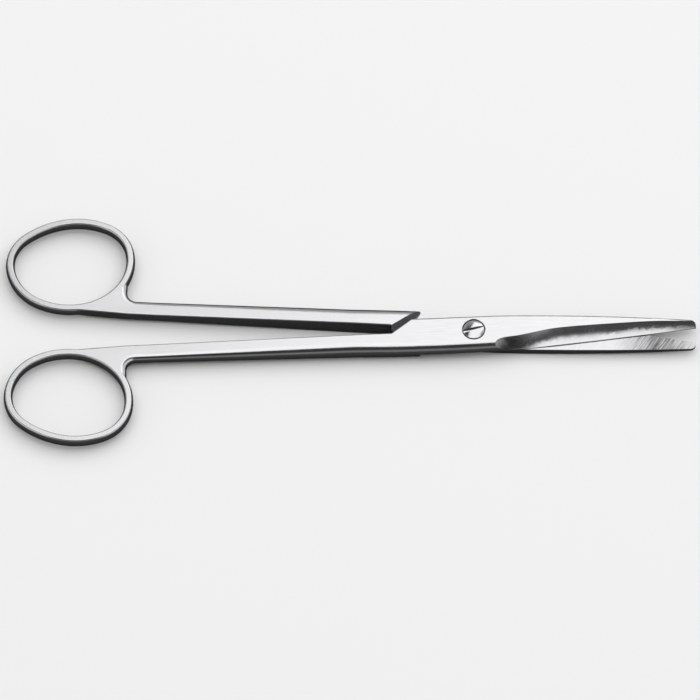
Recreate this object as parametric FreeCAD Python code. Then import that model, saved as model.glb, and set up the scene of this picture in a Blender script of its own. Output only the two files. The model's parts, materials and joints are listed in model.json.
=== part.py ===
import FreeCAD, Part
import math
import os

from FreeCAD import Rotation, Vector

# Straight dissecting scissors with bevelled blades, 171 mm over all, in millimetres.
# Two forged halves cross in a lap joint and turn on one slotted screw. Each half is a finger ring,
# a shank of D section that grows thicker towards the joint, an oblique shoulder where the shank
# steps down to half its height, the lap of the joint, and a blade with a hollow bevel.
# The halves are the same forging: the rear half is the front half turned over about the X axis.
# X runs along the closed instrument to the tips, Z is the screw's axis, pointing up.
# The origin is where the screw's axis meets the flat underside of the joint.
# The drawing shows the instrument standing a few degrees open, and that is the rest position.

# Finger rings. The reach runs to the middle of the ring. The ring is an oval with one fuller end:
# its length and width are taken over the middle of its band, along axes turned by the tilt.
# The band has oval sides and a flat above and below, level with the web.
HANDLE_REACH = 101.0
RING_LENGTH = 30.0
RING_WIDTH = 24.6
RING_TILT_ANGLE = -12.6
RING_BAND = 2.2
RING_FLAT = 1.2

# Web between ring and shank, and the crotch outside it.
WEB_LENGTH = 5.2
WEB_RUN_IN = 15.0
WEB_DROP = 0.66
CROTCH_RADIUS = 2.4
CROTCH_DEPTH = 1.4

# Shanks. The outer side is round apart from a narrow flat, and the inner side is a flat wall.
SHANK_HEIGHT = 3.0
SHANK_WIDTH = 4.15
OUTER_FLAT = 0.2
EDGE_ROUND = 0.35

# Lap joint.
JOINT_HEIGHT = 5.0
JOINT_REAR = 30.0
JOINT_OUTER_REAR = 4.9
JOINT_OUTER_MIDDLE = 5.35
JOINT_INNER = 3.85
SHOULDER_START = 20.4
SHOULDER_RUN = 5.3
BACK_ROUND = 0.6

# Blades.
BLADE_REACH = 55.2
HEEL_X = 10.0
HEEL_WIDTH = 5.0
EDGE_BELLY = 0.18
BACK_START = 6.0
BACK_BELLY = 0.33
TIP_WIDTH = 1.9
TIP_SLANT = 0.2
TIP_EDGE_OFFSET = 0.87
TIP_BACK_RADIUS = 1.4
TIP_HEIGHT = 1.3

# Hollow bevel, ground by a small round wheel that runs out into the joint.
WHEEL_RADIUS = 6.0
RUN_OUT_RADIUS = 8.8
EDGE_LAND = 0.3
RIDGE_AT_HEEL = 2.3
RIDGE_AT_TIP = 0.4
WHEEL_INNER_ANGLE = 75.0
WHEEL_OUTER_ANGLE = -20.0

# Pivot screw.
HEAD_DIAMETER = 5.2
HEAD_HEIGHT = 1.1
HEAD_RECESS = 0.1
HEAD_DOME = 0.35
SLOT_WIDTH = 0.8
SLOT_DEPTH = 0.65
SLOT_ANGLE = 15.0
NECK_DIAMETER = 3.6
THREAD_DIAMETER = 3.0
TAIL_RECESS = 0.1
HOLE_CHAMFER = 0.25
SEAT_CHAMFER = 0.1

# Clearances and the opening at rest.
SHANK_CLEARANCE = 0.24
SHOULDER_CLEARANCE = 0.2
LAP_CLEARANCE = 0.04
HEAD_CLEARANCE = 0.5
SEAT_CLEARANCE = 0.04
NECK_CLEARANCE = 0.04
THREAD_CLEARANCE = 0.02
REST_ANGLE = 5.8

# Where the ring's two axes cross, as shares of its length from the far end and of its width.
RING_CROSSING = (0.52, 0.455)

# Where the ridge of the bevel lies between heel and tip: share of the way, share of its fall.
RIDGE_SHAPE = [
    (0.0, 0.0), (0.18, 0.52), (0.38, 0.80), (0.58, 0.95), (0.78, 1.06), (1.0, 1.0), (1.04, 0.99),
]

# How the wheel comes down into the joint: shares of the whole run-out, from its start.
RUN_OUT_SHARES = (1.0, 0.7, 0.4)

X_AXIS = Vector(1, 0, 0)
Z_AXIS = Vector(0, 0, 1)

# Reach of the cutting bodies, how far they pass what they cut, and how near counts as touching.
FAR = 200.0
MARGIN = 1.0
TOUCH = 1e-3

# How deep the middle of a quarter arc lies in its corner, as a share of its radius.
HALFWAY_IN = 1 - math.sqrt(0.5)

HALF_JOINT = JOINT_HEIGHT / 2
WALL_Y = -SHANK_CLEARANCE / 2


def polygon(points, bottom, top):
    """A prism over flat points (x, y) from one height to another."""
    corners = [Vector(x, y, bottom) for x, y in points]
    wire = Part.makePolygon(corners + corners[:1])
    return Part.Face(wire).extrude(Vector(0, 0, top - bottom))


def arc(first, middle, last):
    """An arc edge through three points."""
    return Part.Arc(first, middle, last).toShape()


def line(first, last):
    """A straight edge."""
    return Part.makeLine(first, last)


def quarter(first, corner, last):
    """The quarter of a circle or an oval that rounds a right corner."""
    curve = Part.BezierCurve()
    curve.setPoles([first, corner, last])
    curve.setWeight(2, math.sqrt(0.5))
    return curve.toShape()


def bulge(first, last, height):
    """The middle point of an arc that leaves its chord by a height, to the right of its run."""
    run = last - first
    side = Vector(run.y, -run.x, 0).normalize()
    return (first + last) * 0.5 + side * height


def edges_where(shape, test):
    """The shape's edges whose middle point passes a test."""
    found = []
    for edge in shape.Edges:
        middle = edge.valueAt((edge.FirstParameter + edge.LastParameter) / 2)
        if test(middle, edge):
            found.append(edge)
    return found


def leaving(start, way, end):
    """An arc that leaves its start in a given direction and ends at a point."""
    chord = end - start
    side = Vector(-way.y, way.x, 0)
    reach = chord.dot(chord) / (2 * chord.dot(side))
    centre = start + side * reach
    outward = ((start + end) * 0.5 - centre).normalize()
    return arc(start, centre + outward * abs(reach), end)


def two_arcs(first, first_way, last, last_way):
    """Two arcs that join two points smoothly, with the direction given at each."""
    run = last - first
    ways = first_way + last_way
    spread = 2 * (1 - first_way.dot(last_way))
    reach = (math.sqrt(run.dot(ways) ** 2 + spread * run.dot(run)) - run.dot(ways)) / spread
    joint = (first + last + (first_way - last_way) * reach) * 0.5
    return [leaving(first, first_way, joint), leaving(last, last_way * -1, joint)]


def is_level(edge, height):
    """Whether both ends of an edge lie at one height."""
    return all(abs(v.Point.z - height) < TOUCH for v in edge.Vertexes)


def shank_section(outer, inward, height):
    """The D section of a shank in the upright plane through its outermost point."""
    half = height / 2
    radius = half - OUTER_FLAT / 2
    wall = (WALL_Y - outer.y) / inward.y
    top_end = wall - EDGE_ROUND / inward.y
    start = half - EDGE_ROUND

    def at(depth, z):
        return outer + inward * depth + Vector(0, 0, z)

    turn = radius * HALFWAY_IN
    flat = OUTER_FLAT / 2
    return Part.Wire([
        line(at(wall, -start), at(wall, start)),
        quarter(at(wall, start), at(wall, half), at(top_end, half)),
        line(at(top_end, half), at(radius, half)),
        arc(at(radius, half), at(turn, half - turn), at(0, flat)),
        line(at(0, flat), at(0, -flat)),
        arc(at(0, -flat), at(turn, turn - half), at(radius, -half)),
        line(at(radius, -half), at(top_end, -half)),
        quarter(at(top_end, -half), at(wall, -half), at(wall, -start)),
    ])


# The joint's outer side is one shallow arc from the end of the shank's taper to the heel.
REAR_POINT = Vector(-JOINT_REAR, -JOINT_OUTER_REAR, 0)
MIDDLE_POINT = Vector(HEEL_X / 2 - JOINT_REAR / 2, -JOINT_OUTER_MIDDLE, 0)
HEEL_POINT = Vector(HEEL_X, -HEEL_WIDTH, 0)
OUTER_CENTRE = Part.Arc(REAR_POINT, MIDDLE_POINT, HEEL_POINT).toShape().Curve.Center
REAR_INWARD = (OUTER_CENTRE - REAR_POINT).normalize()
HEEL_INWARD = (OUTER_CENTRE - HEEL_POINT).normalize()
SIDE_ROUND = HALF_JOINT - OUTER_FLAT / 2
SIDE_INSET = SIDE_ROUND + EDGE_ROUND


def ring_line():
    """The closed middle line of the finger ring, smooth arcs between the ends of its two axes."""
    turn = math.radians(RING_TILT_ANGLE)
    along = Vector(math.cos(turn), math.sin(turn), 0)
    across = Vector(-along.y, along.x, 0)
    behind, below = RING_LENGTH * RING_CROSSING[0], RING_WIDTH * RING_CROSSING[1]
    corners = [
        (along * (RING_LENGTH - behind), across),
        (across * (RING_WIDTH - below), along * -1),
        (along * -behind, across * -1),
        (across * -below, along),
    ]
    edges = []
    for (first, first_way), (last, last_way) in zip(corners, corners[1:] + corners[:1]):
        edges += two_arcs(first, first_way, last, last_way)
    loop = Part.Wire(Part.__sortEdges__(edges))
    box = loop.optimalBoundingBox()
    middle_x = (box.XMin + box.XMax) / 2
    loop.translate(Vector(-HANDLE_REACH - middle_x, WALL_Y - RING_BAND / 2 - box.YMax, 0))
    return loop


RING_LINE = ring_line()
RING_BOX = RING_LINE.optimalBoundingBox()
RING_END_X = RING_BOX.XMax + RING_BAND / 2
WEB_END_X = RING_END_X + WEB_LENGTH


def finger_ring():
    """The ring's band, swept round its middle line: oval sides between two flats."""
    first = RING_LINE.Edges[0]
    start = first.valueAt(first.FirstParameter)
    across = first.tangentAt(first.FirstParameter).cross(Z_AXIS).normalize()
    turn = math.asin(RING_FLAT / RING_BAND)
    peak = SHANK_HEIGHT / 2 / math.cos(turn)
    oval = Part.Ellipse(start + Z_AXIS * peak, start + across * (RING_BAND / 2), start)
    one = Part.ArcOfEllipse(oval, turn, math.pi - turn)
    other = Part.ArcOfEllipse(oval, math.pi + turn, 2 * math.pi - turn)
    section = Part.Wire([
        one.toShape(),
        line(one.EndPoint, other.StartPoint),
        other.toShape(),
        line(other.EndPoint, one.StartPoint),
    ])
    sweep = Part.BRepOffsetAPI.MakePipeShell(RING_LINE)
    sweep.setBiNormalMode(Z_AXIS)
    sweep.add(section)
    sweep.build()
    sweep.makeSolid()
    return sweep.shape()


def web():
    """The flat web that carries the ring on the shank, with the round crotch outside it."""
    half = SHANK_HEIGHT / 2
    outer_y = WALL_Y - SHANK_WIDTH
    crotch_x = RING_END_X - CROTCH_DEPTH
    centre = Vector(crotch_x + CROTCH_RADIUS, outer_y - CROTCH_RADIUS, -half)
    turn = CROTCH_RADIUS * (1 - HALFWAY_IN)
    ring_y = RING_BOX.Center.y

    def at(x, y):
        return Vector(x, y, -half)

    run_in_x = RING_END_X - MARGIN
    corners = [
        at(crotch_x, centre.y),
        at(crotch_x, ring_y),
        at(run_in_x - WEB_RUN_IN, ring_y),
        at(run_in_x - WEB_RUN_IN, WALL_Y - WEB_DROP),
        at(run_in_x, WALL_Y),
        at(WEB_END_X, WALL_Y),
        at(WEB_END_X, outer_y),
        at(centre.x, outer_y),
    ]
    edges = [line(a, b) for a, b in zip(corners, corners[1:])]
    edges.append(arc(corners[-1], centre + Vector(-turn, turn, 0), corners[0]))
    plate = Part.Face(Part.Wire(edges)).extrude(Vector(0, 0, SHANK_HEIGHT))

    def on_outside(middle, edge):
        flat = is_level(edge, half) or is_level(edge, -half)
        beyond_ring = crotch_x - TOUCH < middle.x < WEB_END_X - TOUCH
        return flat and beyond_ring and middle.y < outer_y + TOUCH

    plate = plate.makeFillet(half - OUTER_FLAT / 2, edges_where(plate, on_outside))

    def on_wall(middle, edge):
        flat = is_level(edge, half) or is_level(edge, -half)
        along = abs(edge.tangentAt(edge.FirstParameter).x) > 0.9
        return flat and along and middle.y > WALL_Y - WEB_DROP

    plate = plate.makeFillet(EDGE_ROUND, edges_where(plate, on_wall))
    hole = Part.Face(RING_LINE).extrude(Vector(0, 0, SHANK_HEIGHT + 2 * MARGIN))
    hole.translate(Vector(0, 0, -half - MARGIN))
    return plate.cut(hole)


def shank():
    """The tapered shank from the web to the joint."""
    start = Vector(WEB_END_X, WALL_Y - SHANK_WIDTH, 0)
    sections = [
        shank_section(start, Vector(0, 1, 0), SHANK_HEIGHT),
        shank_section(REAR_POINT, REAR_INWARD, JOINT_HEIGHT),
    ]
    return Part.makeLoft(sections, True, True)


def joint_side():
    """The round outer side of the joint, turned about the centre of its long arc."""
    depth = SIDE_INSET + MARGIN
    turn = SIDE_ROUND * HALFWAY_IN
    flat = OUTER_FLAT / 2

    def at(inset, z):
        return REAR_POINT + REAR_INWARD * inset + Vector(0, 0, z)

    profile = Part.Wire([
        line(at(depth, -HALF_JOINT), at(depth, HALF_JOINT)),
        line(at(depth, HALF_JOINT), at(SIDE_ROUND, HALF_JOINT)),
        arc(at(SIDE_ROUND, HALF_JOINT), at(turn, HALF_JOINT - turn), at(0, flat)),
        line(at(0, flat), at(0, -flat)),
        arc(at(0, -flat), at(turn, turn - HALF_JOINT), at(SIDE_ROUND, -HALF_JOINT)),
        line(at(SIDE_ROUND, -HALF_JOINT), at(depth, -HALF_JOINT)),
    ])
    angle = math.degrees(REAR_INWARD.getAngle(HEEL_INWARD))
    return Part.Face(profile).revolve(OUTER_CENTRE, Z_AXIS, angle)


# Corners of the blade's outline.
TIP_EDGE_POINT = Vector(BLADE_REACH, -TIP_EDGE_OFFSET, 0)
TIP_BACK_POINT = Vector(BLADE_REACH - TIP_SLANT, TIP_WIDTH - TIP_EDGE_OFFSET, 0)
BACK_POINT = Vector(BACK_START, JOINT_INNER, 0)
EDGE_MIDDLE = bulge(HEEL_POINT, TIP_EDGE_POINT, EDGE_BELLY)
BACK_MIDDLE = bulge(TIP_BACK_POINT, BACK_POINT, BACK_BELLY)


def edge_y(x):
    """Where the cutting edge runs at a distance from the pivot."""
    circle = Part.Arc(HEEL_POINT, EDGE_MIDDLE, TIP_EDGE_POINT).toShape().Curve
    return circle.Center.y - math.sqrt(circle.Radius ** 2 - (x - circle.Center.x) ** 2)


def taper_radius():
    """The radius of the long arc that thins the blade from heel to tip."""
    fall = HALF_JOINT - TIP_HEIGHT
    run = BLADE_REACH - HEEL_X
    return (run * run + fall * fall) / (2 * fall)


def outer_z(x):
    """The height of the blade's outer face at a distance from the pivot."""
    radius = taper_radius()
    return HALF_JOINT - radius + math.sqrt(radius ** 2 - (x - HEEL_X) ** 2)


def plan_body():
    """The joint and blade over their outline, both layers high, with the blade's back taper."""
    wall = (WALL_Y - REAR_POINT.y) / REAR_INWARD.y
    rear_wall = REAR_POINT + REAR_INWARD * wall
    rear_inset = REAR_POINT + REAR_INWARD * SIDE_INSET
    heel_inset = HEEL_POINT + HEEL_INWARD * SIDE_INSET
    middle_inward = (OUTER_CENTRE - MIDDLE_POINT).normalize()
    shoulder = Vector(-SHOULDER_START, WALL_Y, 0)
    corner = Vector(SHOULDER_RUN - SHOULDER_START, JOINT_INNER, 0)
    outline = Part.Wire([
        line(rear_inset, rear_wall),
        line(rear_wall, shoulder),
        line(shoulder, corner),
        line(corner, BACK_POINT),
        arc(BACK_POINT, BACK_MIDDLE, TIP_BACK_POINT),
        line(TIP_BACK_POINT, TIP_EDGE_POINT),
        arc(TIP_EDGE_POINT, EDGE_MIDDLE, HEEL_POINT),
        line(HEEL_POINT, heel_inset),
        arc(heel_inset, MIDDLE_POINT + middle_inward * SIDE_INSET, rear_inset),
    ])
    outline.translate(Vector(0, 0, -HALF_JOINT))
    plan = Part.Face(outline).extrude(Vector(0, 0, JOINT_HEIGHT))

    def upright_at(point):
        def test(middle, edge):
            return abs(middle.x - point.x) < TOUCH and abs(middle.y - point.y) < TOUCH
        return test

    plan = plan.makeFillet(TIP_BACK_RADIUS, edges_where(plan, upright_at(TIP_BACK_POINT)))
    plan = plan.common(side_profile()).Solids[0]

    def back_start(middle, edge):
        return is_level(edge, HALF_JOINT) and abs(middle.y - JOINT_INNER) < TOUCH

    plan = plan.makeFillet(BACK_ROUND, edges_where(plan, back_start))

    def on_wall(middle, edge):
        return abs(abs(middle.z) - HALF_JOINT) < TOUCH and abs(middle.y - WALL_Y) < TOUCH

    def on_oblique(middle, edge):
        halfway = (shoulder + corner) * 0.5 + Vector(0, 0, HALF_JOINT)
        return is_level(edge, HALF_JOINT) and (middle - halfway).Length < SHOULDER_RUN / 4

    return plan.makeFillet(EDGE_ROUND, edges_where(plan, on_wall) + edges_where(plan, on_oblique))


def side_profile():
    """The instrument seen from the side: level to the heel, then an arc down past the tip."""
    def at(x, z):
        return Vector(x, -FAR, z)

    end_x = BLADE_REACH + MARGIN
    middle_x = (HEEL_X + end_x) / 2
    corners = [
        at(end_x, outer_z(end_x)), at(end_x, -FAR), at(-FAR, -FAR),
        at(-FAR, HALF_JOINT), at(HEEL_X, HALF_JOINT),
    ]
    edges = [line(a, b) for a, b in zip(corners, corners[1:])]
    edges.append(arc(corners[-1], at(middle_x, outer_z(middle_x)), corners[0]))
    return Part.Face(Part.Wire(edges)).extrude(Vector(0, 2 * FAR, 0))


def wheel_centre(x, ridge):
    """Where the wheel's centre stands when it grinds a station of the bevel."""
    top = Vector(x, ridge, outer_z(x))
    foot = Vector(x, edge_y(x), EDGE_LAND)
    chord = foot - top
    away = Vector(0, chord.z, -chord.y).normalize()
    return (top + foot) * 0.5 + away * math.sqrt(WHEEL_RADIUS ** 2 - chord.Length ** 2 / 4)


def wheel_section(centre):
    """The part of the wheel that can touch the blade, closed above it."""
    def at(degrees):
        turn = math.radians(degrees)
        return centre + Vector(0, math.sin(turn), -math.cos(turn)) * WHEEL_RADIUS

    inner, outer = at(WHEEL_INNER_ANGLE), at(WHEEL_OUTER_ANGLE)
    middle = at((WHEEL_INNER_ANGLE + WHEEL_OUTER_ANGLE) / 2)
    lid = centre.z + MARGIN
    inner_top = Vector(inner.x, inner.y, lid)
    outer_top = Vector(outer.x, outer.y, lid)
    return Part.Wire([
        arc(inner, middle, outer),
        line(outer, outer_top),
        line(outer_top, inner_top),
        line(inner_top, inner),
    ])


def bevel_cutter():
    """The hollow that the wheel leaves: it drops into the joint and then follows the edge."""
    ridge_end = TIP_BACK_POINT.y - RIDGE_AT_TIP
    stations = []
    for way, rise in RIDGE_SHAPE:
        x = HEEL_X + way * (BLADE_REACH - HEEL_X)
        stations.append(wheel_centre(x, rise * (ridge_end + RIDGE_AT_HEEL) - RIDGE_AT_HEEL))
    run_out = math.sqrt(2 * RUN_OUT_RADIUS * (HALF_JOINT + MARGIN / 2))
    entries = []
    for share in RUN_OUT_SHARES:
        back = run_out * share
        entries.append(stations[0] + Vector(-back, 0, back * back / (2 * RUN_OUT_RADIUS)))
    return Part.makeLoft([wheel_section(c) for c in entries + stations], True, False)


def relief():
    """What the lap takes from the lower layer: all of it beyond the oblique shoulder."""
    start = Vector(-SHOULDER_START, -WALL_Y, 0)
    end = Vector(SHOULDER_RUN - SHOULDER_START, -JOINT_INNER, 0)
    along = (end - start).normalize()
    ahead = Vector(-along.y, along.x, 0)
    foot = start - ahead * SHOULDER_CLEARANCE
    corners = [
        foot - along * FAR,
        foot + along * FAR,
        foot + along * FAR + ahead * FAR,
        foot - along * FAR + ahead * FAR,
    ]
    return polygon([(c.x, c.y) for c in corners], -JOINT_HEIGHT, LAP_CLEARANCE / 2)


def half():
    """One forged and ground half, as the front one lies when the instrument is closed."""
    forging = plan_body().fuse([joint_side(), shank(), web(), finger_ring()]).removeSplitter()
    return forging.cut(relief()).cut(bevel_cutter()).Solids[0]


def cylinder(diameter, bottom, top):
    """An upright cylinder on the screw's axis."""
    return Part.makeCylinder(diameter / 2, top - bottom, Vector(0, 0, bottom))


def cone(lower, upper, bottom, top):
    """An upright cone on the screw's axis, between two diameters."""
    return Part.makeCone(lower / 2, upper / 2, top - bottom, Vector(0, 0, bottom))


def bored_for_neck(blank):
    """A half with its counterbored seat for the screw's head and the plain bore for the neck."""
    seat = HEAD_DIAMETER + HEAD_CLEARANCE
    bore = cylinder(NECK_DIAMETER + NECK_CLEARANCE, -HALF_JOINT, HALF_JOINT)
    recess = cylinder(seat, HALF_JOINT - HEAD_HEIGHT, JOINT_HEIGHT)
    mouth = cone(seat, seat + 2 * SEAT_CHAMFER, HALF_JOINT - SEAT_CHAMFER, HALF_JOINT)
    return blank.cut([bore, recess, mouth]).Solids[0]


def bored_for_thread(blank):
    """A half turned over, with the hole that holds the screw's threaded tail."""
    over = blank.rotated(Vector(0, 0, 0), X_AXIS, 180)
    size = THREAD_DIAMETER + THREAD_CLEARANCE
    hole = cylinder(size, -HALF_JOINT, HALF_JOINT)
    mouth = cone(size + 2 * HOLE_CHAMFER, size, -HALF_JOINT, HOLE_CHAMFER - HALF_JOINT)
    return over.cut([hole, mouth]).Solids[0]


def pivot_screw():
    """The turned screw: domed head with its slot, plain neck and threaded tail."""
    head, neck, tail = HEAD_DIAMETER / 2, NECK_DIAMETER / 2, THREAD_DIAMETER / 2
    seat = HALF_JOINT - HEAD_HEIGHT + SEAT_CLEARANCE
    rim = HALF_JOINT - HEAD_RECESS
    peak = HALF_JOINT + HEAD_DOME
    shoulder = -LAP_CLEARANCE / 2
    foot = TAIL_RECESS - HALF_JOINT
    profile = [
        (0, foot), (tail - HOLE_CHAMFER, foot), (tail, foot + HOLE_CHAMFER), (tail, shoulder),
        (neck, shoulder), (neck, seat), (head, seat), (head, rim),
    ]
    corners = [Vector(r, 0, z) for r, z in profile]
    radius = (head ** 2 + (peak - rim) ** 2) / (2 * (peak - rim))
    dome = Vector(head / 2, 0, peak - radius + math.sqrt(radius ** 2 - head ** 2 / 4))
    top = Vector(0, 0, peak)
    edges = [line(a, b) for a, b in zip(corners, corners[1:])]
    edges += [arc(corners[-1], dome, top), line(top, corners[0])]
    turned = Part.Face(Part.Wire(edges)).revolve(Vector(0, 0, 0), Z_AXIS, 360)
    floor = peak - SLOT_DEPTH
    slot = Part.makeBox(
        2 * head, SLOT_WIDTH, JOINT_HEIGHT, Vector(-head, -SLOT_WIDTH / 2, floor)
    )
    slot.rotate(Vector(0, 0, 0), Z_AXIS, SLOT_ANGLE)
    return turned.cut(slot).Solids[0]


def placed(shape, turn):
    """A piece turned about the screw's axis and lifted so that the joint's underside is at zero."""
    moved = shape.rotated(Vector(0, 0, 0), Z_AXIS, turn)
    moved.translate(Vector(0, 0, HALF_JOINT))
    return moved


blank = half()
parts = {
    "front_half": placed(bored_for_neck(blank), REST_ANGLE / 2),
    "rear_half": placed(bored_for_thread(blank), -REST_ANGLE / 2),
    "pivot_screw": placed(pivot_screw(), 0),
}

os.makedirs("parts", exist_ok=True)
for name, shape in parts.items():
    shape.exportStep(f"parts/{name}.step")
    print(name, shape.ShapeType, "valid" if shape.isValid() else "faulty", round(shape.Volume, 1))
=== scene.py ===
import json
import logging
import math
from dataclasses import dataclass
from enum import Enum

import bpy
from mathutils import Matrix, Vector

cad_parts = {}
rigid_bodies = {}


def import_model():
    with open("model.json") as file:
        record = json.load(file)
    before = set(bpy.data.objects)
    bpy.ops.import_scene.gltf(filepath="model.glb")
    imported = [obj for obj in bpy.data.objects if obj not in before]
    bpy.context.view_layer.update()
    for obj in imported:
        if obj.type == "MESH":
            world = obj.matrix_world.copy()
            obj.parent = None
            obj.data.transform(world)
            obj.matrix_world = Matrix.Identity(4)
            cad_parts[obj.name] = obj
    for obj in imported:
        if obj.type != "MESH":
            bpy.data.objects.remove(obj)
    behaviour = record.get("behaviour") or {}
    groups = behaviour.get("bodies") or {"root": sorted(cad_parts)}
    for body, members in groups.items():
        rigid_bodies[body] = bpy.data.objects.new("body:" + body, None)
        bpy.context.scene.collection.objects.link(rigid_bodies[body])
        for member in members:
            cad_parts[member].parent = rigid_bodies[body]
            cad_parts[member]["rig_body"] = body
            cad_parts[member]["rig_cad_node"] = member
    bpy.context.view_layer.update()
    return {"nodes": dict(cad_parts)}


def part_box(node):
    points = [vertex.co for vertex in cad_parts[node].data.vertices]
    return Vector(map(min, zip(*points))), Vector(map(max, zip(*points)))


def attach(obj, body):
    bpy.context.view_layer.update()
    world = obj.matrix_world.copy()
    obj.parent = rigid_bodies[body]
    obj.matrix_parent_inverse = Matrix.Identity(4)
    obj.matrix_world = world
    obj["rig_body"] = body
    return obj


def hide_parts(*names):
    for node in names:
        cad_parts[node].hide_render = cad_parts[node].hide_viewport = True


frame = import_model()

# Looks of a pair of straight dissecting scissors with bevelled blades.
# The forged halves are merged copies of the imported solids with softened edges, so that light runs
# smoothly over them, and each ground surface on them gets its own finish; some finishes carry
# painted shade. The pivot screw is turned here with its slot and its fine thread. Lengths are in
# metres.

logging.basicConfig(level=logging.INFO, format="%(message)s")
LOG = logging.getLogger("scissors")

MM = 0.001

# Distances at which things count as level, and as one point.
NEAR = 5e-6
WELD = 1e-7

# Half heights of the joint and of a ring's band, and how far the rings reach towards the joint.
HALF_JOINT = 2.5 * MM
RING_LEVEL = 1.5 * MM
RING_END = -80 * MM

# How far each half is turned from closed at rest, in degrees.
HALF_OPEN = 2.9

# Turns between two faces that count as a crease, and as flat.
CREASE = math.radians(22)
FLATNESS = math.radians(0.2)


class Value:
    """A shader socket that takes part in Python expressions."""

    def __init__(self, tree: bpy.types.NodeTree, socket: bpy.types.NodeSocket) -> None:
        """Wraps a socket.

        Args:
            tree: The node tree that the socket belongs to.
            socket: The output socket.
        """
        self.tree = tree
        self.socket = socket

    def combined(self, operation: str, left: "Value | float", right: "Value | float") -> "Value":
        """Adds a Math node.

        Args:
            operation: The node's operation.
            left: Its first value or link.
            right: Its second value or link.

        Returns:
            The node's result.
        """
        node = self.tree.nodes.new("ShaderNodeMath")
        node.operation = operation
        for place, item in zip(node.inputs, (left, right)):
            if isinstance(item, Value):
                self.tree.links.new(item.socket, place)
            else:
                place.default_value = item
        return Value(self.tree, node.outputs[0])

    def __add__(self, other: "Value | float") -> "Value":
        """The sum."""
        return self.combined("ADD", self, other)

    def __radd__(self, other: float) -> "Value":
        """The sum, with the number first."""
        return self.combined("ADD", other, self)

    def __sub__(self, other: "Value | float") -> "Value":
        """The difference."""
        return self.combined("SUBTRACT", self, other)

    def __rsub__(self, other: float) -> "Value":
        """The difference, with the number first."""
        return self.combined("SUBTRACT", other, self)

    def __mul__(self, other: "Value | float") -> "Value":
        """The product."""
        return self.combined("MULTIPLY", self, other)

    def __rmul__(self, other: float) -> "Value":
        """The product, with the number first."""
        return self.combined("MULTIPLY", other, self)

    def __abs__(self) -> "Value":
        """The size without the sign."""
        return self.combined("ABSOLUTE", self, 0.0)


class Shader:
    """A procedural material or world under construction."""

    def __init__(self, owner: bpy.types.Material | bpy.types.World, surface: str) -> None:
        """Starts with the bare node tree of a material or a world.

        Args:
            owner: The material or world.
            surface: The name of its surface node.
        """
        owner.use_nodes = True
        self.owner = owner
        self.tree = owner.node_tree
        self.surface = self.tree.nodes[surface]

    @classmethod
    def material(cls, name: str) -> "Shader":
        """Starts a new material.

        Args:
            name: The material's name.

        Returns:
            Its shader.
        """
        return cls(bpy.data.materials.new(name), "Principled BSDF")

    def node(
        self,
        kind: str,
        settings: dict[str, object] | None = None,
        inputs: dict[str | int, object] | None = None,
        output: str | int = 0,
    ) -> Value:
        """Adds any other node.

        Args:
            kind: The node's type.
            settings: Properties that are set before its sockets.
            inputs: Values or links of its sockets, by name or place.
            output: The socket that is returned.

        Returns:
            One of the node's outputs.
        """
        made = self.tree.nodes.new(kind)
        for name, setting in (settings or {}).items():
            setattr(made, name, setting)
        for name, item in (inputs or {}).items():
            self.feed(made.inputs[name], item)
        return Value(self.tree, made.outputs[output])

    def feed(self, place: bpy.types.NodeSocket, item: object) -> None:
        """Links or sets one socket.

        Args:
            place: The socket to feed.
            item: A Value to link, or a plain value to set.
        """
        if isinstance(item, Value):
            self.tree.links.new(item.socket, place)
        else:
            place.default_value = item

    def finish(self, inputs: dict[str, object]) -> bpy.types.Material | bpy.types.World:
        """Feeds the surface node.

        Args:
            inputs: Values or links of its sockets, by name.

        Returns:
            The finished material or world.
        """
        for name, item in inputs.items():
            self.feed(self.surface.inputs[name], item)
        return self.owner


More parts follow.
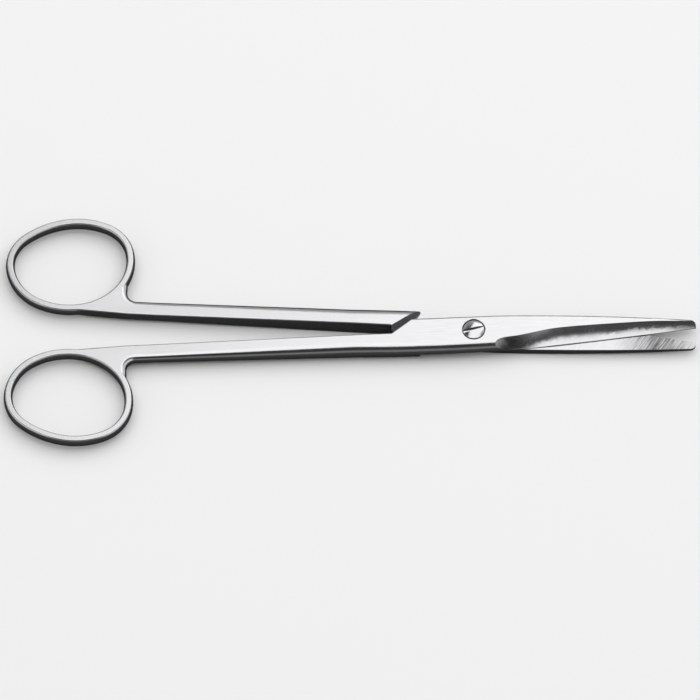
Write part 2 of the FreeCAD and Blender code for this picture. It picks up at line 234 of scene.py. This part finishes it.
@dataclass(frozen=True)
class Steel:
    """Stainless steel with a directional grain, and painted shade along the blade where a stretch is
    given.

    Attributes:
        name: The material's name.
        colour: Its colour, grey by grey.
        roughness: Its mean roughness.
        spread: How far the roughness strays either way.
        grain_length: Length of a grinding line.
        grain_width: Width of a grinding line.
        grain_angle: Direction of the lines from the instrument's length, in degrees.
        grain_depth: Height of the lines for the bump.
        contrast: How much darker the lines are drawn.
        cloud: Size of the soft patches left by hand polishing.
        painted_shade: Middle, half length and depth of a stretch along the blade painted darker as
            painted shade, if any.
        tint: Brightness of the colour between the patches.
        cloud_tint: How much brighter the patches are.
        painted_shade_gain: How strongly the grinding lines show in the painted shade.
    """

    name: str
    colour: tuple[float, float, float]
    roughness: float
    spread: float
    grain_length: float
    grain_width: float
    grain_angle: float
    grain_depth: float
    contrast: float = 0.24
    cloud: float = 9 * MM
    painted_shade: tuple[float, float, float] | None = None
    tint: float = 0.94
    cloud_tint: float = 0.08
    painted_shade_gain: float = 1.4

    def make(self, turn: float) -> bpy.types.Material:
        """Builds the material for one half.

        Args:
            turn: How far that half is turned at rest, in degrees.

        Returns:
            The material.
        """
        shader = Shader.material(self.name)
        place = shader.node("ShaderNodeTexCoord", output="Object")
        angle = math.radians(-turn - self.grain_angle)
        aligned = shader.node(
            "ShaderNodeMapping", inputs={"Vector": place, "Rotation": (0.0, 0.0, angle)}
        )
        stretched = shader.node(
            "ShaderNodeMapping",
            inputs={
                "Vector": aligned,
                "Scale": (1 / self.grain_length, 1 / self.grain_width, 1 / self.grain_width),
            },
        )
        lines = shader.node(
            "ShaderNodeTexNoise",
            inputs={"Vector": stretched, "Scale": 1.0, "Detail": 3.0, "Roughness": 0.6},
        )
        clouds = shader.node(
            "ShaderNodeTexNoise",
            inputs={"Vector": place, "Scale": 1 / self.cloud, "Detail": 2.0},
        )
        rough = self.roughness + (lines - 0.5) * (2 * self.spread) + (clouds - 0.5) * self.spread
        darkest = self.tint - self.contrast * 0.5
        tint = darkest + clouds * self.cloud_tint + lines * self.contrast
        # A given stretch along the blade is painted darker in the colour: painted shade, with the
        # grinding lines showing through.
        if self.painted_shade:
            middle, reach, depth = self.painted_shade
            along = shader.node("ShaderNodeSeparateXYZ", inputs={"Vector": place}, output="X")
            painted_shade_mask = shader.node(
                "ShaderNodeMapRange",
                {"interpolation_type": "SMOOTHSTEP"},
                {"Value": abs(along - middle), "From Min": reach, "From Max": 0.0},
            )
            tint = tint - painted_shade_mask * depth * (self.painted_shade_gain - lines * self.painted_shade_gain)
        colour = shader.node(
            "ShaderNodeVectorMath",
            {"operation": "SCALE"},
            {0: self.colour, "Scale": tint},
        )
        bump = shader.node(
            "ShaderNodeBump",
            inputs={"Height": lines, "Distance": self.grain_depth, "Strength": 1.0},
        )
        return shader.finish(
            {"Base Color": colour, "Metallic": 1.0, "Roughness": rough, "Normal": bump}
        )


def grey(level: float) -> tuple[float, float, float]:
    """Makes the faintly cool grey of stainless steel.

    Args:
        level: How bright it is.

    Returns:
        The colour.
    """
    return (level, level, level + 0.01)


class Finish(Enum):
    """The finishes on the steel, each a shop's way of leaving a surface; the hollow-ground and
    milled finishes also carry painted shade, and the cross-ground finish a painted dark reflection.
    """

    SATIN = Steel(
        name="satin", colour=grey(0.76), roughness=0.20, spread=0.05,
        grain_length=6 * MM, grain_width=0.22 * MM, grain_angle=0.0, grain_depth=0.0010 * MM,
    )
    HOLLOW = Steel(
        name="hollow_ground", colour=grey(0.74), roughness=0.24, spread=0.06,
        grain_length=2 * MM, grain_width=0.12 * MM, grain_angle=80.0, grain_depth=0.0012 * MM,
        # The run-out at the heel is painted darker: painted shade.
        contrast=0.3, painted_shade=(9 * MM, 9 * MM, 1.0),
    )
    LAP = Steel(
        name="cross_ground", colour=grey(0.74), roughness=0.22, spread=0.08,
        grain_length=4 * MM, grain_width=0.30 * MM, grain_angle=60.0, grain_depth=0.0010 * MM,
        # A stretch near the middle of the lap face is painted darker: a painted dark reflection.
        contrast=0.3, painted_shade=(46.5 * MM, 13 * MM, 0.9),
    )
    # Milled finish: grain and roughness are the surface's own; its dark colour is painted shade in
    # the relief and the screw's seat.
    MILLED = Steel(
        name="milled_painted_shade", colour=grey(0.30), roughness=0.45, spread=0.05,
        grain_length=0.8 * MM, grain_width=0.15 * MM, grain_angle=90.0, grain_depth=0.0015 * MM,
    )


# Spots on the surfaces with a finish of their own, in millimetres, on the closed forging face up.
# The milled finish on the relief step and on the screw's seat is darkened as painted shade.
SPOTS = (
    (Finish.HOLLOW, (30.0, -1.5, 1.1)),
    (Finish.LAP, (30.0, -1.0, 0.0)),
    (Finish.MILLED, (-17.0, -2.6, -1.0)),
)
# The screw's seat takes the darkened milled finish: painted shade in the recess.
SEAT_SHADE_SPOTS = (
    (Finish.MILLED, (2.85, 0.0, 2.0)),
    (Finish.MILLED, (2.3, 0.0, 1.4)),
)


def deselect() -> None:
    """Leaves no object selected, so that an operator acts only on what is made next."""
    bpy.ops.object.select_all(action="DESELECT")


def alone(piece: bpy.types.Object) -> None:
    """Selects one object and makes it active.

    Args:
        piece: The object.
    """
    deselect()
    piece.select_set(True)
    bpy.context.view_layer.objects.active = piece


@dataclass
class Forging:
    """One half of the scissors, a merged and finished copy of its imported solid.

    Attributes:
        node: The CAD node.
        body: The body that it rides on.
        turn: How far the half is turned at rest, in degrees.
        over: Whether the half is the forging turned over.
        spots: The finishes and a spot on each surface that has one of its own.
        softening: How far the rounding of the ring's creases reaches.
        softening_steps: How many faces the rounding has across.
    """

    node: str
    body: str
    turn: float
    over: bool
    spots: tuple[tuple[Finish, tuple[float, float, float]], ...]
    softening: float = 0.12 * MM
    softening_steps: int = 3

    def place(self, spot: tuple[float, float, float]) -> Vector:
        """Finds a spot of the forging in the row's frame.

        Args:
            spot: The spot in millimetres, as the forging lies closed and face up.

        Returns:
            The same spot on this half at rest.
        """
        point = Vector(spot) * MM
        if self.over:
            point.yz = -point.yz
        point.rotate(Matrix.Rotation(math.radians(self.turn), 3, "Z"))
        return point + Vector((0.0, 0.0, HALF_JOINT))

    def build(self) -> None:
        """Makes the piece and hides the solid that it stands for."""
        forging = self.copied()
        self.soften(forging)
        self.finish(forging)
        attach(forging, self.body)
        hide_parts(self.node)
        LOG.info("%s: %d faces", forging.name, len(forging.data.polygons))

    def copied(self) -> bpy.types.Object:
        """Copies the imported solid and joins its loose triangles.

        Returns:
            The copy.
        """
        alone(frame["nodes"][self.node])
        bpy.ops.object.duplicate()
        forging = bpy.context.object
        forging.name = self.node + "_forging"
        bpy.ops.object.parent_clear(type="CLEAR_KEEP_TRANSFORM")
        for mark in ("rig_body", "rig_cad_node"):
            del forging[mark]
        bpy.ops.object.mode_set(mode="EDIT")
        bpy.ops.mesh.select_all(action="SELECT")
        bpy.ops.mesh.remove_doubles(threshold=WELD)
        bpy.ops.mesh.customdata_custom_splitnormals_clear()
        bpy.ops.mesh.dissolve_limited(angle_limit=FLATNESS)
        bpy.ops.mesh.select_all(action="DESELECT")
        bpy.ops.mesh.select_mode(type="EDGE")
        bpy.ops.object.mode_set(mode="OBJECT")
        return forging

    def soften(self, forging: bpy.types.Object) -> None:
        """Rounds the creases of the finger ring, as polishing does.

        Args:
            forging: The piece.
        """
        mesh = forging.data
        levels = {RING_LEVEL, -RING_LEVEL}
        steep = self.crease_angles(mesh)
        for edge in mesh.edges:
            ends = [mesh.vertices[v].co for v in edge.vertices]
            level = any(
                all(abs(co.z - HALF_JOINT - height) < NEAR for co in ends) for height in levels
            )
            edge.select = level and ends[0].x < RING_END and steep[edge.index] > CREASE
        bpy.ops.object.mode_set(mode="EDIT")
        bpy.ops.mesh.bevel(offset=self.softening, segments=self.softening_steps, profile=0.5)
        bpy.ops.object.mode_set(mode="OBJECT")

    def crease_angles(self, mesh: bpy.types.Mesh) -> list[float]:
        """Measures the turn between the two faces at each edge.

        Args:
            mesh: The mesh.

        Returns:
            The angles, by edge.
        """
        normals: dict[int, list[Vector]] = {edge.index: [] for edge in mesh.edges}
        for face in mesh.polygons:
            for loop in face.loop_indices:
                normals[mesh.loops[loop].edge_index].append(face.normal)
        return [
            normals[index][0].angle(normals[index][1], 0.0) if len(normals[index]) == 2 else 0.0
            for index in range(len(mesh.edges))
        ]

    def finish(self, forging: bpy.types.Object) -> None:
        """Gives each ground surface its own finish and shades the piece smooth.

        Args:
            forging: The piece.
        """
        forging.data.materials.clear()
        for finish in Finish:
            forging.data.materials.append(finish.value.make(self.turn))
        for face in forging.data.polygons:
            face.material_index = 0
        bpy.ops.object.mode_set(mode="EDIT")
        bpy.ops.mesh.select_all(action="DESELECT")
        bpy.ops.mesh.select_mode(type="EDGE")
        bpy.ops.mesh.edges_select_sharp(sharpness=CREASE)
        bpy.ops.mesh.mark_sharp()
        bpy.ops.object.mode_set(mode="OBJECT")
        for finish, spot in self.spots:
            self.spread(forging, spot, list(Finish).index(finish))
        alone(forging)
        bpy.ops.object.shade_smooth_by_angle(angle=CREASE)
        bpy.ops.object.modifier_add(type="WEIGHTED_NORMAL")
        forging.modifiers[-1].keep_sharp = True
        bpy.ops.object.modifier_apply(modifier=forging.modifiers[-1].name)

    def spread(self, forging: bpy.types.Object, spot: tuple[float, float, float], slot: int) -> None:
        """Paints the surface nearest to a spot, up to its sharp edges.

        Args:
            forging: The piece.
            spot: The spot in millimetres, in the forging's own frame.
            slot: The material slot.
        """
        *_, face = forging.closest_point_on_mesh(self.place(spot))
        bpy.ops.object.mode_set(mode="EDIT")
        bpy.ops.mesh.select_mode(type="FACE")
        bpy.ops.mesh.select_all(action="DESELECT")
        bpy.ops.object.mode_set(mode="OBJECT")
        forging.data.polygons[face].select = True
        bpy.ops.object.mode_set(mode="EDIT")
        bpy.ops.mesh.select_linked(delimit={"SHARP"})
        forging.active_material_index = slot
        bpy.ops.object.material_slot_assign()
        bpy.ops.object.mode_set(mode="OBJECT")


@dataclass
class PivotScrew:
    """The turned screw with its slotted dome and its fine thread.

    Attributes:
        profile: Radius and height of each turned corner, from the foot up, in millimetres.
        dome_rim: Radius and height where the dome starts.
        dome_peak: Height of the dome's peak.
        dome_steps: How many rings the dome has.
        slot: Length and width of the slot.
        slot_floor: Height of the slot's floor.
        slot_angle: Direction of the slot, in degrees.
        pitch: Rise of one turn of the thread.
        core: Radius at the thread's root.
        crest: Radius at the thread's crest.
        thread_ends: Lowest and highest point of the thread.
        sides: How many sides the turned rounds have.
        thread_sides: How many sides a turn of the thread has.
        cutter_height: Height of the block that mills the slot.
        ring_spacing: Distance between the fine rings left by turning.
        ring_depth: Their height for the bump.
    """

    profile: tuple[tuple[float, float], ...] = (
        (1.10, 0.10), (1.28, 0.28), (1.28, 2.48), (1.80, 2.48), (1.80, 3.94), (2.60, 3.94),
        (2.60, 4.84), (2.58, 4.90),
    )
    dome_rim: tuple[float, float] = (2.53, 4.95)
    dome_peak: float = 5.34
    dome_steps: int = 8
    slot: tuple[float, float] = (6.0, 0.8)
    slot_floor: float = 4.70
    slot_angle: float = 15.0
    pitch: float = 0.5
    core: float = 1.30
    crest: float = 1.49
    thread_ends: tuple[float, float] = (0.32, 2.40)
    sides: int = 96
    thread_sides: int = 32
    cutter_height: float = 2.0
    ring_spacing: float = 0.07
    ring_depth: float = 0.0008

    def build(self) -> None:
        """Makes the piece and hides the solid that it stands for."""
        screw = self.turned()
        self.combine(screw, self.thread(), "UNION")
        self.combine(screw, self.slot_cutter(), "DIFFERENCE")
        screw.data.materials.append(self.material())
        alone(screw)
        bpy.ops.object.shade_smooth_by_angle(angle=CREASE)
        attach(screw, "rear")
        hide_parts("pivot_screw")
        LOG.info("%s: %d faces", screw.name, len(screw.data.polygons))

    def dome(self) -> list[tuple[float, float]]:
        """Works out the rings of the dome.

        Returns:
            Radius and height of each ring, from the rim to near the peak.
        """
        radius, rim = self.dome_rim
        rise = self.dome_peak - rim
        ball = (radius ** 2 + rise ** 2) / (2 * rise)
        rings = []
        for step in range(self.dome_steps):
            out = radius * (1 - step / self.dome_steps)
            rings.append((out, self.dome_peak - ball + math.sqrt(ball ** 2 - out ** 2)))
        return rings

    def turned(self) -> bpy.types.Object:
        """Turns the screw: each corner of its profile is one extrusion, scaled to its radius.

        Returns:
            The screw's blank.
        """
        deselect()
        radius, height = self.profile[0]
        bpy.ops.mesh.primitive_circle_add(
            vertices=self.sides, radius=radius * MM, fill_type="NGON",
            location=(0.0, 0.0, height * MM),
        )
        screw = bpy.context.object
        screw.name = "slotted_pivot_screw"
        bpy.ops.object.transform_apply(location=True)
        bpy.ops.object.mode_set(mode="EDIT")
        bpy.ops.mesh.select_all(action="SELECT")
        for next_radius, next_height in [*self.profile[1:], *self.dome()]:
            bpy.ops.mesh.extrude_region_move(
                TRANSFORM_OT_translate={"value": (0.0, 0.0, (next_height - height) * MM)}
            )
            share = next_radius / radius
            bpy.ops.transform.resize(value=(share, share, 1.0))
            radius, height = next_radius, next_height
        bpy.ops.mesh.merge(type="CENTER")
        bpy.ops.mesh.select_all(action="SELECT")
        bpy.ops.mesh.normals_make_consistent(inside=False)
        bpy.ops.object.mode_set(mode="OBJECT")
        return screw

    def thread(self) -> bpy.types.Object:
        """Winds the thread: a notch of one pitch, screwed upwards and cut level at both ends.

        Returns:
            The threaded rod.
        """
        deselect()
        low, high = self.thread_ends
        bpy.ops.mesh.primitive_circle_add(
            vertices=4, radius=self.pitch / 2 * MM, rotation=(math.pi / 2, 0.0, 0.0),
            location=(self.core * MM, 0.0, (low - self.pitch) * MM),
        )
        rod = bpy.context.object
        rod.scale.x = (self.crest - self.core) / (self.pitch / 2)
        bpy.ops.object.transform_apply(location=True, rotation=True, scale=True)
        bpy.ops.object.mode_set(mode="EDIT")
        bpy.ops.mesh.select_all(action="DESELECT")
        bpy.ops.mesh.select_mode(type="VERT")
        bpy.ops.object.mode_set(mode="OBJECT")
        for vertex in rod.data.vertices:
            vertex.select = vertex.co.x < self.core * MM - NEAR
        bpy.ops.object.mode_set(mode="EDIT")
        bpy.ops.mesh.delete(type="VERT")
        bpy.ops.object.mode_set(mode="OBJECT")
        bpy.ops.object.modifier_add(type="SCREW")
        winding = rod.modifiers[-1]
        winding.screw_offset = self.pitch * MM
        winding.iterations = math.ceil((high - low) / self.pitch) + 2
        winding.steps = winding.render_steps = self.thread_sides
        bpy.ops.object.modifier_apply(modifier=winding.name)
        bpy.ops.object.mode_set(mode="EDIT")
        bpy.ops.mesh.select_all(action="SELECT")
        bpy.ops.mesh.remove_doubles(threshold=10 * WELD)
        for level, way in ((low, -1.0), (high, 1.0)):
            bpy.ops.mesh.select_all(action="SELECT")
            bpy.ops.mesh.bisect(
                plane_co=(0.0, 0.0, level * MM), plane_no=(0.0, 0.0, way), use_fill=True,
                clear_outer=True, threshold=WELD,
            )
        bpy.ops.mesh.select_all(action="SELECT")
        bpy.ops.mesh.normals_make_consistent(inside=False)
        bpy.ops.object.mode_set(mode="OBJECT")
        return rod

    def slot_cutter(self) -> bpy.types.Object:
        """Makes the block that mills the slot.

        Returns:
            The block.
        """
        deselect()
        length, width = self.slot
        bpy.ops.mesh.primitive_cube_add(
            size=MM, location=(0.0, 0.0, (self.slot_floor + self.cutter_height / 2) * MM),
            rotation=(0.0, 0.0, math.radians(self.slot_angle)),
            scale=(length, width, self.cutter_height),
        )
        return bpy.context.object

    def combine(self, screw: bpy.types.Object, other: bpy.types.Object, way: str) -> None:
        """Joins or cuts the screw with another closed shape, which is used up.

        Args:
            screw: The screw.
            other: The other shape.
            way: UNION or DIFFERENCE.
        """
        alone(screw)
        bpy.ops.object.modifier_add(type="BOOLEAN")
        change = screw.modifiers[-1]
        change.operation, change.solver, change.object = way, "EXACT", other
        bpy.ops.object.modifier_apply(modifier=change.name)
        alone(other)
        bpy.ops.object.delete()

    def material(self) -> bpy.types.Material:
        """Makes turned steel, with fine rings round the axis.

        Returns:
            The material.
        """
        shader = Shader.material("turned_steel")
        place = shader.node("ShaderNodeTexCoord", output="Object")
        flat = shader.node(
            "ShaderNodeVectorMath", {"operation": "MULTIPLY"}, {0: place, 1: (1.0, 1.0, 0.0)}
        )
        out = shader.node("ShaderNodeVectorMath", {"operation": "LENGTH"}, {0: flat}, "Value")
        rings = shader.node(
            "ShaderNodeTexNoise",
            {"noise_dimensions": "1D"},
            {"W": out * (1 / (self.ring_spacing * MM)), "Scale": 1.0, "Detail": 2.0},
        )
        bump = shader.node(
            "ShaderNodeBump",
            inputs={"Height": rings, "Distance": self.ring_depth * MM, "Strength": 1.0},
        )
        colour = shader.node(
            "ShaderNodeVectorMath",
            {"operation": "SCALE"},
            {0: grey(0.74), "Scale": 0.88 + rings * 0.16},
        )
        return shader.finish(
            {
                "Base Color": colour,
                "Metallic": 1.0,
                "Roughness": 0.13 + rings * 0.06,
                "Normal": bump,
            }
        )


@dataclass(frozen=True)
class SoftBox:
    """One soft light, aimed at the joint.

    Attributes:
        name: The light's name.
        azimuth: Its bearing from +Y, turning towards +X, in degrees.
        elevation: Its height above the horizon, in degrees.
        distance: How far it is from the joint.
        size: Its width and height.
        power: Its power in watts.
    """

    name: str
    azimuth: float
    elevation: float
    distance: float
    size: tuple[float, float]
    power: float

    def hang(self) -> bpy.types.Object:
        """Hangs the light, out of the camera's sight.

        Returns:
            The light's object.
        """
        bearing, rise = math.radians(self.azimuth), math.radians(self.elevation)
        away = Vector((
            math.sin(bearing) * math.cos(rise), math.cos(bearing) * math.cos(rise), math.sin(rise),
        ))
        bpy.ops.object.light_add(type="AREA", location=away * self.distance)
        light = bpy.context.object
        light.name = self.name
        light.rotation_euler = away.to_track_quat("Z", "Y").to_euler()
        light.data.shape = "RECTANGLE"
        light.data.size, light.data.size_y = self.size
        light.data.energy = self.power
        light.visible_camera = False
        return light


@dataclass
class Studio:
    """The floor, the lights, the room and the camera.

    Attributes:
        floor_side: Side of the floor.
        floor_colour: Its colour.
        card_side: Side of the black card that lines the steel in reflections.
        card_lift: How far the card lies above the floor.
        painted_reflection_colour: Its colour, black for the painted dark reflection.
        pixels_per_mm: Scale of the picture.
        pivot_pixel: Where the pivot's middle stands in the picture.
        picture_side: Side of the picture in pixels.
        elevation: How steeply the camera looks down, in degrees.
        roll: How far the camera is rolled, in degrees.
        lens: Focal length in millimetres.
        shine: The light that the steel mirrors.
        wash: The light that falls on the floor.
        room_dark: Brightness of the room's dark parts.
        wall_light: How much brighter its walls are.
        ceiling_heights: Where the walls give way to the ceiling, as the sine of the elevation.
        panel_bearings: Where the dark panel starts and is full, as the cosine from +Y.
        panel_heights: Where the panel gives way to its paler foot, as the sine of the elevation.
        panel_foot: How bright the foot is, as a share of the walls.
        back_bearings: Where the duller back wall starts and is full, as the cosine from +Y.
        back_shade: How much duller it is, as a share of the walls.
    """

    floor_side: float = 6.0
    floor_colour: tuple[float, float, float] = (0.86, 0.86, 0.86)
    card_side: float = 3.0
    card_lift: float = 0.05 * MM
    # The card's black is a painted dark reflection, seen only in the steel.
    painted_reflection_colour: tuple[float, float, float] = (0.03, 0.03, 0.03)
    pixels_per_mm: float = 4.035
    pivot_pixel: tuple[float, float] = (473.6, 334.25)
    picture_side: float = 700.0
    elevation: float = 60.0
    roll: float = 0.3
    lens: float = 800.0
    shine: SoftBox = SoftBox("shine_box", 20.0, 73.0, 1.2, (0.76, 1.95), 5.7)
    wash: SoftBox = SoftBox("wash_box", 20.0, 75.0, 1.4, (2.6, 2.6), 32.0)
    room_dark: float = 0.03
    wall_light: float = 0.70
    ceiling_heights: tuple[float, float] = (0.88, 0.48)
    panel_bearings: tuple[float, float] = (-0.80, -0.95)
    panel_heights: tuple[float, float] = (0.50, 0.30)
    panel_foot: float = 0.25
    back_bearings: tuple[float, float] = (0.80, 0.95)
    back_shade: float = 0.5

    def build(self) -> None:
        """Makes everything in the studio."""
        self.floor()
        self.lights()
        self.room()
        bpy.context.scene.view_settings.view_transform = "Standard"
        self.camera()

    def floor(self) -> None:
        """Lays a plain pale floor under the instrument."""
        bpy.ops.mesh.primitive_plane_add(size=self.floor_side)
        floor = bpy.context.object
        floor.name = "floor"
        shader = Shader.material("floor_paper")
        floor.data.materials.append(
            shader.finish({"Base Color": (*self.floor_colour, 1.0), "Roughness": 0.9})
        )
        self.painted_reflection_card()

    def painted_reflection_card(self) -> None:
        """Lays a black card that shows only in reflections: a painted dark reflection on the steel's
        sides, where the camera sees the pale floor.
        """
        bpy.ops.mesh.primitive_plane_add(size=self.card_side, location=(0.0, 0.0, self.card_lift))
        card = bpy.context.object
        card.name = "painted_reflection_card"
        shader = Shader.material("painted_reflection_black")
        card.data.materials.append(
            shader.finish({"Base Color": (*self.painted_reflection_colour, 1.0), "Roughness": 1.0})
        )
        card.visible_camera = False
        card.visible_diffuse = False
        card.visible_shadow = False
        card.visible_transmission = False

    def lights(self) -> None:
        """Hangs the soft boxes, one for the shine of the steel and one for the floor."""
        self.shine.hang().visible_diffuse = False
        self.wash.hang().visible_glossy = False

    def room(self) -> None:
        """Makes the room: pale walls, a dark ceiling, and a dark panel where the camera stands."""
        shader = Shader(bpy.data.worlds.new("room"), "Background")
        way = shader.node("ShaderNodeTexCoord", output="Generated")
        height = shader.node("ShaderNodeSeparateXYZ", inputs={"Vector": way}, output="Z")
        level = shader.node(
            "ShaderNodeVectorMath", {"operation": "MULTIPLY"}, {0: way, 1: (1.0, 1.0, 0.0)}
        )
        bearing = shader.node("ShaderNodeVectorMath", {"operation": "NORMALIZE"}, {0: level})
        ahead = shader.node("ShaderNodeSeparateXYZ", inputs={"Vector": bearing}, output="Y")
        walls = self.ramp(shader, height, self.ceiling_heights)
        panel = self.ramp(shader, ahead, self.panel_bearings)
        foot = self.ramp(shader, height, self.panel_heights) * self.panel_foot
        back = self.ramp(shader, ahead, self.back_bearings) * self.back_shade
        walls = walls * (1.0 - panel * (1.0 - foot) - back) * self.wall_light
        light = self.room_dark + walls
        bpy.context.scene.world = shader.finish({"Color": (1.0, 1.0, 1.0, 1.0), "Strength": light})

    def ramp(self, shader: Shader, value: Value, ends: tuple[float, float]) -> Value:
        """Fades from nothing to one between two values.

        Args:
            shader: The shader under construction.
            value: What is looked at.
            ends: The value where the fade starts, and where it is full.

        Returns:
            The fade.
        """
        return shader.node(
            "ShaderNodeMapRange",
            {"interpolation_type": "SMOOTHSTEP"},
            {"Value": value, "From Min": ends[0], "From Max": ends[1]},
        )

    def camera(self) -> None:
        """Sets the camera at the picture's viewing angle and framing."""
        rise, roll = math.radians(self.elevation), math.radians(self.roll)
        back = Vector((0.0, -math.cos(rise), math.sin(rise)))
        level = Vector((1.0, 0.0, 0.0))
        up = back.cross(level)
        right = level * math.cos(roll) + up * math.sin(roll)
        up = back.cross(right)
        scale = MM / self.pixels_per_mm
        across = (self.pivot_pixel[0] - self.picture_side / 2) * scale
        down = (self.pivot_pixel[1] - self.picture_side / 2) * scale
        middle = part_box("front_half")[1].z / 2
        aim = Vector((0.0, 0.0, middle)) - right * across + up * down
        bpy.ops.object.camera_add()
        camera = bpy.context.object
        camera.data.lens = self.lens
        view_width = self.picture_side * scale
        distance = view_width * self.lens / camera.data.sensor_width
        turn = Matrix((right, up, back)).transposed().to_4x4()
        camera.matrix_world = Matrix.Translation(aim + back * distance) @ turn
        camera.data.clip_end = 4 * distance
        bpy.context.scene.camera = camera


def main() -> None:
    """Builds and dresses the instrument, then its studio."""
    deselect()
    Forging("front_half", "front", HALF_OPEN, False, SPOTS + SEAT_SHADE_SPOTS).build()
    Forging("rear_half", "rear", -HALF_OPEN, True, SPOTS).build()
    PivotScrew().build()
    Studio().build()


if __name__ == "__main__":
    main()
